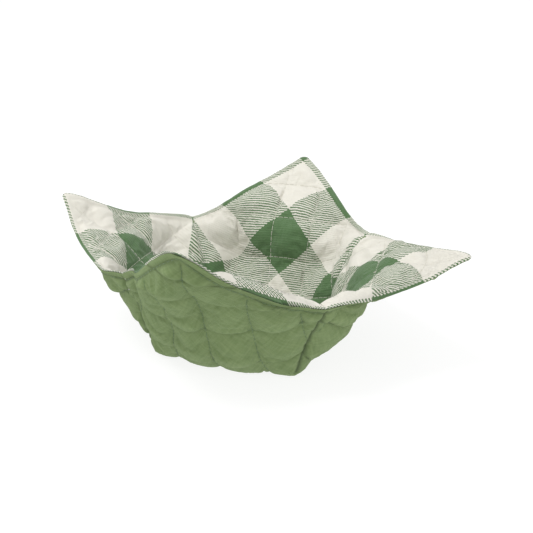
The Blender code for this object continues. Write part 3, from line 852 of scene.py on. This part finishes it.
# Painted shade: how far the colour of each point of the cover's face is darkened, where creases
# too narrow for the mesh would lie in shade
shade_varies = LEVEL_SHADE_MEAN + LEVEL_SHADE_VARIES * ripple(cloth, LEVEL_SHADE_PATCH, SHADE_SEED)
level_shade = (np.exp(-(level_line_distance(cloth, COVER_QUILT_START) / LEVEL_SHADE_WIDTH) ** 2)
              * np.clip(shade_varies, LEVEL_SHADE_LEAST, 1) * up_wall)
seam_shade = np.exp(-(seam_distance(cloth) / SEAM_SHADE_WIDTH) ** 2)
hem_shade = HEM_SHADE_DEPTH * np.exp(-((cloth.to_rim - TOPSTITCH_INSET) / HEM_SHADE_WIDTH) ** 2)
painted_shade = np.zeros(len(cover.data.vertices))
painted_shade[:len(cover_face)] = PAINTED_SHADE_DEPTH * np.maximum(np.maximum(level_shade, seam_shade), hem_shade)
cover.data.attributes.new("painted_fold_shade", "FLOAT", "POINT").data.foreach_set("value", painted_shade)
cover.data.materials.append(cover_material())
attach(cover, "root")
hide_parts("outer_cover")

# Lining: a square of buffalo check cotton twill, green and cream, of the same cut
# as the cover and stitched to it round the rim. Its own quilting lines are sewn
# with cream thread, and its folded edge rolls a little over the cover's.

LINING_PUFF = 0.0024
LINING_QUILT_START = -0.0088
CHECK = 0.036
YARNS_TO_A_CHECK = 58
EVEN_SHIFT = 0.0006
SIDE_SHIFT = 0.0013
EDGE_SHIFT = 0.0011
CHECK_GREEN = (0.083, 0.166, 0.064, 1)
CHECK_CREAM = (0.775, 0.748, 0.672, 1)
CHECK_FUZZ = (0.42, 0.47, 0.36, 1)
FUZZ_SCALE, FUZZ_SHARE = 500, 0.10
U_WANDER_SCALE, V_WANDER_SCALE, YARNS_WANDER = 610, 570, 1.1
WALE_HEIGHT = 0.6
SOFT_SCALE, SOFT_HEIGHT = 60, 1.5
LINING_RELIEF = 0.00016


def lining_material():
    """Green and cream twill: every yarn keeps its colour right across."""
    n = Nodes("lining_cotton")
    place = n.place()
    u, v = n.split(place)[:2]
    pitch = CHECK / YARNS_TO_A_CHECK

    def yarns(along, aside, scale):
        """Number of yarns from the middle, drawn askew near the edge, and uneven."""
        far, off = n.math("DIVIDE", along, HALF_SIDE), n.math("DIVIDE", aside, HALF_SIDE)
        askew = n.math("MULTIPLY_ADD", off, SIDE_SHIFT, EVEN_SHIFT)
        drawn = n.math("MULTIPLY", n.math("SUBTRACT", 1.0, off),
                       n.math("MULTIPLY", far, EDGE_SHIFT))
        edge = n.math("MULTIPLY", n.math("MULTIPLY", far, far), n.math("SUBTRACT", askew, drawn))
        uneven = n.math("SUBTRACT", n.noise(place, scale, 2), 0.5)
        wander = n.math("MULTIPLY", uneven, YARNS_WANDER)
        return n.math("ADD", n.math("DIVIDE", n.math("ADD", along, edge), pitch), wander)

    yarn_u, yarn_v = yarns(u, v, U_WANDER_SCALE), yarns(v, u, V_WANDER_SCALE)
    number_u, number_v = n.math("FLOOR", yarn_u), n.math("FLOOR", yarn_v)

    def cream(number):
        """1 for a cream yarn and 0 for a green one."""
        middle = n.math("ADD", number, 0.5)
        band = n.math("FLOOR", n.math("ADD", n.math("DIVIDE", middle, YARNS_TO_A_CHECK), 0.5))
        return n.math("ABSOLUTE", n.math("MODULO", band, 2.0))

    def rounding(yarn, number):
        """Height across a yarn: 1 at its middle and 0 at its sides."""
        off = n.math("SUBTRACT", n.math("SUBTRACT", yarn, number), 0.5)
        return n.math("SUBTRACT", 1.0, n.math("MULTIPLY", n.math("MULTIPLY", off, off), 4.0))

    # A twill of four: two yarns over and two under, one further in each row
    turn = n.math("FLOORED_MODULO", n.math("ADD", number_u, number_v), 4.0)
    warp_up = n.math("LESS_THAN", turn, 1.5)

    def on_top(warp, weft):
        """The value of whichever yarn lies on top."""
        return n.math("ADD", n.math("MULTIPLY", warp_up, warp),
                      n.math("MULTIPLY", n.math("SUBTRACT", 1.0, warp_up), weft))

    colour = n.mix(on_top(cream(number_u), cream(number_v)), CHECK_GREEN, CHECK_CREAM)
    fuzz = n.noise(place, FUZZ_SCALE, 3)
    colour = n.mix(n.math("MULTIPLY", fuzz, FUZZ_SHARE), colour, CHECK_FUZZ)
    yarn_height = on_top(rounding(yarn_u, number_u), rounding(yarn_v, number_v))
    wale = n.math("SINE", n.math("MULTIPLY", n.math("ADD", yarn_u, yarn_v), math.pi / 2))
    height = n.math("ADD", yarn_height, n.math("MULTIPLY", wale, WALE_HEIGHT))
    soft = n.noise(place, SOFT_SCALE, 2)
    height = n.math("ADD", height, n.math("MULTIPLY", soft, SOFT_HEIGHT))
    n.finish(Base_Color=colour, Roughness=0.92, Sheen_Weight=0.2, Sheen_Roughness=0.5,
             Specular_IOR_Level=0.15, Normal=n.bump(height, LINING_RELIEF, RELIEF_STRENGTH))
    return n.material


# The rim rolls outwards beside the right front dart, on the front wall and on the
# right one, which lifts the lining. The roll starts a little in from the edge,
# grows along the rim from the tip and is smaller at the dart itself
LINING_SEED = 11
LIP_FULLNESS = 0.0050
LIP_START_WIDTH = 0.006
LIP_WIDTH = 0.022
LIP_RISE = 0.011
LIP_RISE_WIDTH = 0.008
LIP_REACH = 0.050
LIP_FRONT_GROWTH, LIP_FRONT_START = 4, 0.25
LIP_RIGHT_GROWTH, LIP_RIGHT_START = 2, 0.7
LIP_DART_START = 0.55
LIP_LESS_AT_DART = 0.6
ROLL, ROLL_AT_FRONT, ROLL_ENDS = 0.0004, 0.0010, 0.02
LINING_EDGE = 0.0003
front_part = np.clip(-cloth.across / DART_HALF, 0, 1) * (cloth.wall == 3)
right_part = np.clip(cloth.across / DART_HALF, 0, 1) * (cloth.wall == 2)
at_dart = ease((np.maximum(front_part, right_part) - LIP_DART_START) / (1 - LIP_DART_START))
along_rim = ((ease(front_part * LIP_FRONT_GROWTH - LIP_FRONT_START)
              + ease(right_part * LIP_RIGHT_GROWTH - LIP_RIGHT_START))
             * (1 - LIP_LESS_AT_DART * at_dart))
lip_end = 1 - ease((cloth.to_rim - LIP_START_WIDTH) / (LIP_WIDTH - LIP_START_WIDTH))
lip = LIP_FULLNESS * ease(cloth.to_rim / LIP_START_WIDTH) * lip_end * along_rim
rise_end = 1 - ease((cloth.to_rim - LIP_RISE_WIDTH) / (LIP_REACH - LIP_RISE_WIDTH))
raised = (LIP_RISE * np.sqrt(ease(cloth.to_rim / LIP_RISE_WIDTH)) * (1 - cloth.normal[:, 2])
          * rise_end * along_rim)
lining_offset = layer_offset(cloth, LINING_QUILT_START, LINING_PUFF, 0.0, LINING_SEED) + lip
lining_face = cloth.place + cloth.normal * lining_offset[:, None]
lining_face[:, 2] += raised
lining_face = let_settle(cloth, LINING_QUILT_START, lining_face, side=1, push=0.12, sag=0.0,
                         spare=0.045, hanging_spare=0.03)
lining_back = lining_face - cloth.normal * (BACK_SHARE * COTTON)
front_rim = (cloth.wall == 3) * ease((DART_HALF - np.abs(cloth.across)) / ROLL_ENDS)
roll = ROLL + ROLL_AT_FRONT * front_rim[cloth.rim][:, None]
lining = cotton_mesh("lining_cloth", cloth, lining_face, lining_back, outwards,
                     roll + edge_noise * LINING_EDGE, 1)
lining.data.materials.append(lining_material())
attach(lining, "root")
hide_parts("lining")

# Wadding: a thin layer of white cotton felt between the two cloths, held by the
# quilting. It stops at the topstitching.

WADDING_CELLS = 46
WADDING_SHARPNESS = 1.0
WADDING_FILLS = 0.45
WADDING_ON_BASE = 0.6
WADDING_SHORT = 0.001
FELT_DARK = (0.72, 0.71, 0.68, 1)
FELT_LIGHT = (0.84, 0.83, 0.80, 1)
FELT_SCALE, FELT_RELIEF = 700, 0.0003
wadding_cloth = Cloth(WADDING_CELLS)
wadding_low = WADDING_PINCHED / 2 + WADDING_FILLS * COVER_PUFF * puff_share(
    wadding_cloth, COVER_QUILT_START, WADDING_SHARPNESS, COVER_LEAN)
wadding_low = np.minimum(wadding_low, WADDING_PINCHED / 2 + BASE_PUFF * WADDING_ON_BASE
                         + COVER_PUFF * ease((wadding_cloth.up - FOLD) / FOLD_WIDTH))
wadding_high = WADDING_PINCHED / 2 + WADDING_FILLS * LINING_PUFF * puff_share(
    wadding_cloth, LINING_QUILT_START, WADDING_SHARPNESS, 0.0)
shrink = 1 - (TOPSTITCH_INSET + WADDING_SHORT) / HALF_SIDE
pulled, pulled_normal = (
    cloth.sample(values, wadding_cloth.u * shrink, wadding_cloth.v * shrink)
    for values in (cloth.place, cloth.normal))
wadding = cotton_mesh("wadding_felt", wadding_cloth,
                      pulled + pulled_normal * wadding_high[:, None],
                      pulled - pulled_normal * wadding_low[:, None],
                      wadding_cloth.outwards_at_rim(pulled, pulled_normal), 0.0, 1)


def wadding_material():
    """Soft white felt."""
    n = Nodes("cotton_wadding")
    fibres = n.noise(n.place(), FELT_SCALE, 4)
    n.finish(Base_Color=n.mix(fibres, FELT_DARK, FELT_LIGHT), Roughness=0.95,
             Normal=n.bump(fibres, FELT_RELIEF))
    return n.material


wadding.data.materials.append(wadding_material())
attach(wadding, "root")
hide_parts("wadding")

# Threads: the machine stitches of the quilting and of the topstitching, cream on
# the lining and green on the cover. Every stitch lies on the cloth and its ends
# go down into it.

STITCH = 0.0034
STITCH_GAP = 0.0007
THREAD = 0.00035
THREAD_CORNERS = 6
SEAM_CLEAR = 0.0006
HEM_DART_CLEAR = 0.0005
HEM_CLEAR = 0.002
LINING_THREAD = (0.72, 0.70, 0.60, 1)
COVER_THREAD = (0.13, 0.22, 0.09, 1)
PLY_SCALE, PLY_SHADE, PLY_RELIEF = 2500, 0.8, 0.0001

# Places along a stitch, as shares of its length, and how high its middle lies
# above the cloth there, in half widths of the thread
STITCH_SHARES = (0.0, 0.22, 0.5, 0.78, 1.0)
STITCH_LIFTS = (-0.9, 0.55, 0.9, 0.55, -0.9)


def stitched_lines(column_start):
    """Straight runs of quilting on the flat cloth, as pairs of ends."""
    lines = []
    count = int(TIP / QUILT_SPACING) + 2
    for k in range(-count, count + 1):
        x, y = column_start + k * QUILT_SPACING, QUILT_ROW_START + k * QUILT_SPACING
        lines.append(((x, -TIP), (x, TIP)))
        lines.append(((-TIP, y), (TIP, y)))
    return lines


def on_cloth(x, y, inset):
    """Whether flat places lie on the cloth, clear of its darts and hem."""
    u, v = (x + y) / math.sqrt(2), (y - x) / math.sqrt(2)
    inside = np.maximum(np.abs(u), np.abs(v)) < HALF_SIDE - inset
    up = np.maximum(np.abs(x), np.abs(y))
    across = np.minimum(np.abs(x), np.abs(y))
    return inside & (across < half_width(up) - np.where(up > FOLD, SEAM_CLEAR, -1))


def stitches_on(lines, inset):
    """Ends of the stitches along straight runs, in cloth coordinates."""
    starts, ends = [], []
    pitch = STITCH + STITCH_GAP
    for (x0, y0), (x1, y1) in lines:
        length = math.hypot(x1 - x0, y1 - y0)
        t = np.arange(0, length - STITCH, pitch)
        dx, dy = (x1 - x0) / length, (y1 - y0) / length
        ax, ay = x0 + dx * t, y0 + dy * t
        bx, by = ax + dx * STITCH, ay + dy * STITCH
        kept = on_cloth(ax, ay, inset) & on_cloth(bx, by, inset)
        starts.append(np.stack((ax, ay), axis=1)[kept])
        ends.append(np.stack((bx, by), axis=1)[kept])
    return np.concatenate(starts), np.concatenate(ends)


def hem_stitches():
    """Ends of the topstitches round the hem."""
    line = HALF_SIDE - TOPSTITCH_INSET
    starts, ends = [], []
    t = np.arange(0.0, 2 * line - STITCH, STITCH + STITCH_GAP) - line
    dart = dart_at(line) + HEM_DART_CLEAR
    t = t[(np.abs(t) > dart) & (np.abs(t + STITCH) > dart) & (t * (t + STITCH) > 0)]
    edge = np.full_like(t, line)
    for u0, v0, u1, v1 in ((t, edge, t + STITCH, edge), (t, -edge, t + STITCH, -edge),
                           (edge, t, edge, t + STITCH), (-edge, t, -edge, t + STITCH)):
        starts.append(np.stack(((u0 - v0), (u0 + v0)), axis=1) / math.sqrt(2))
        ends.append(np.stack(((u1 - v1), (u1 + v1)), axis=1) / math.sqrt(2))
    return np.concatenate(starts), np.concatenate(ends)


def thread_piece(name, starts, ends, face, side, colour):
    """Mesh of many short stitches lying on a face of the cloth."""
    normals = cloth.normal * side
    rings = []
    centres, ups = [], []
    for share in STITCH_SHARES:
        x, y = (starts + (ends - starts) * share).T
        u, v = (x + y) / math.sqrt(2), (y - x) / math.sqrt(2)
        centres.append(cloth.sample(face, u, v))
        ups.append(cloth.sample(normals, u, v))
    along = centres[-1] - centres[0]
    along /= np.linalg.norm(along, axis=1)[:, None]
    for centre, up, lift in zip(centres, ups, STITCH_LIFTS):
        up = up - along * (up * along).sum(axis=1)[:, None]
        up /= np.linalg.norm(up, axis=1)[:, None]
        aside = np.cross(along, up)
        middle = centre + up * (lift * THREAD / 2)
        for corner in range(THREAD_CORNERS):
            angle = 2 * math.pi * corner / THREAD_CORNERS
            rings.append(middle + (up * math.cos(angle) + aside * math.sin(angle)) * THREAD / 2)
    points = np.stack(rings, axis=1)
    points[..., 2] = np.maximum(points[..., 2], 0)
    count = len(starts)
    faces = []
    last = (len(STITCH_SHARES) - 1) * THREAD_CORNERS
    for ring in range(0, last, THREAD_CORNERS):
        for corner in range(THREAD_CORNERS):
            a, b = ring + corner, ring + (corner + 1) % THREAD_CORNERS
            faces += [(a, b, b + THREAD_CORNERS), (a, b + THREAD_CORNERS, a + THREAD_CORNERS)]
    for corner in range(1, THREAD_CORNERS - 1):
        faces += [(0, corner + 1, corner), (last, last + corner, last + corner + 1)]
    faces = np.array(faces)
    every = (faces[None] + np.arange(count)[:, None, None] * points.shape[1]).reshape(-1, 3)
    mesh = bpy.data.meshes.new(name)
    mesh.from_pydata(points.reshape(-1, 3).tolist(), [], every.tolist())
    mesh.shade_smooth()
    n = Nodes(name)
    geometry = n.tree.nodes.new("ShaderNodeTexCoord")
    ply = n.noise(geometry.outputs["Object"], PLY_SCALE, 2)
    darker = tuple(part * PLY_SHADE for part in colour[:3]) + (1,)
    n.finish(Base_Color=n.mix(ply, darker, colour), Roughness=0.7, Sheen_Weight=0.3,
             Normal=n.bump(ply, PLY_RELIEF, 0.6))
    mesh.materials.append(n.material)
    piece = bpy.data.objects.new(name, mesh)
    bpy.context.scene.collection.objects.link(piece)
    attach(piece, "root")
    return piece


starts, ends = stitches_on(stitched_lines(LINING_QUILT_START), TOPSTITCH_INSET + HEM_CLEAR)
lining_threads = thread_piece("lining_threads", starts, ends, lining_face, 1, LINING_THREAD)
starts, ends = stitches_on(stitched_lines(COVER_QUILT_START), TOPSTITCH_INSET + HEM_CLEAR)
more_starts, more_ends = hem_stitches()
cover_threads = thread_piece("cover_threads", np.concatenate((starts, more_starts)),
                             np.concatenate((ends, more_ends)), cover_face, -1, COVER_THREAD)

# Floor, light and camera: a white sweep that shows only the soft shadow under the
# cozy, an even white studio round it, a large soft lamp above and a weaker one
# from the right.

FLOOR_HALF = 4
floor_corners = [(x * FLOOR_HALF, y * FLOOR_HALF, 0)
                 for x, y in ((-1, -1), (1, -1), (1, 1), (-1, 1))]
floor_mesh = bpy.data.meshes.new("floor")
floor_mesh.from_pydata(floor_corners, [], [(0, 1, 2, 3)])
floor = bpy.data.objects.new("floor", floor_mesh)
bpy.context.scene.collection.objects.link(floor)
WHITE = (1, 1, 1, 1)
n = Nodes("floor")
n.finish(Base_Color=(0.20, 0.20, 0.20, 1), Emission_Color=WHITE, Emission_Strength=0.85,
         Roughness=0.9, Specular_IOR_Level=0.0)
floor_mesh.materials.append(n.material)

world = bpy.data.worlds.new("studio")
bpy.context.scene.world = world
world.use_nodes = True
tree = world.node_tree
tree.nodes.clear()
light_path = tree.nodes.new("ShaderNodeLightPath")
seen = light_path.outputs["Is Camera Ray"]
for ray in ("Is Glossy Ray", "Is Transmission Ray"):
    either = tree.nodes.new("ShaderNodeMath")
    either.operation = "MAXIMUM"
    tree.links.new(seen, either.inputs[0])
    tree.links.new(light_path.outputs[ray], either.inputs[1])
    seen = either.outputs[0]
choice = tree.nodes.new("ShaderNodeMixShader")
tree.links.new(seen, choice.inputs[0])
AMBIENT_STRENGTH, BACKDROP_STRENGTH = 0.79, 1.0
for slot, strength in ((1, AMBIENT_STRENGTH), (2, BACKDROP_STRENGTH)):
    background = tree.nodes.new("ShaderNodeBackground")
    background.inputs["Color"].default_value = WHITE
    background.inputs["Strength"].default_value = strength
    tree.links.new(background.outputs[0], choice.inputs[slot])
output = tree.nodes.new("ShaderNodeOutputWorld")
tree.links.new(choice.outputs[0], output.inputs["Surface"])


LIT_PLACE = (0, 0, 0.03)


def soft_light(name, place, size, power):
    """A square soft light."""
    data = bpy.data.lights.new(name, "AREA")
    data.shape = "SQUARE"
    data.size = size
    data.energy = power
    lamp = bpy.data.objects.new(name, data)
    lamp.location = place
    lamp.rotation_mode = "QUATERNION"
    lamp.rotation_quaternion = (Vector(LIT_PLACE) - Vector(place)).to_track_quat("-Z", "Y")
    bpy.context.scene.collection.objects.link(lamp)


soft_light("key", place=(-0.60, -0.30, 1.40), size=0.6, power=12)
soft_light("fill", place=(1.2, -0.9, 0.9), size=1.2, power=3.0)

# The camera stands in front and a little to the right, above the bowl. In degrees,
# AZIMUTH is how far it is turned to the left, PITCH how far it looks down and TILT
# how far it is tilted. EYE is measured from the middle of the cloth's base
AZIMUTH, PITCH, TILT = 18.63, 20.70, 0.52
EYE = (0.18936, -0.52626, 0.25949)
SENSOR_WIDTH, LENS = 36, 60.96
azimuth, pitch, roll = (math.radians(angle) for angle in (AZIMUTH, PITCH, TILT))
ahead = Vector((-math.sin(azimuth) * math.cos(pitch), math.cos(azimuth) * math.cos(pitch),
                -math.sin(pitch)))
right = Vector((math.cos(azimuth), math.sin(azimuth), 0))
above = right.cross(ahead)
right, above = (right * math.cos(roll) + above * math.sin(roll),
                above * math.cos(roll) - right * math.sin(roll))
camera_data = bpy.data.cameras.new("camera")
camera_data.sensor_width = SENSOR_WIDTH
camera_data.lens = LENS
camera = bpy.data.objects.new("camera", camera_data)
camera.location = (EYE[0] - CENTRE[0], EYE[1] - CENTRE[1], EYE[2] + TABLE)
camera.rotation_mode = "QUATERNION"
camera.rotation_quaternion = Matrix((right, above, -ahead)).transposed().to_quaternion()
bpy.context.scene.collection.objects.link(camera)
bpy.context.scene.camera = camera
bpy.context.scene.view_settings.view_transform = "Standard"
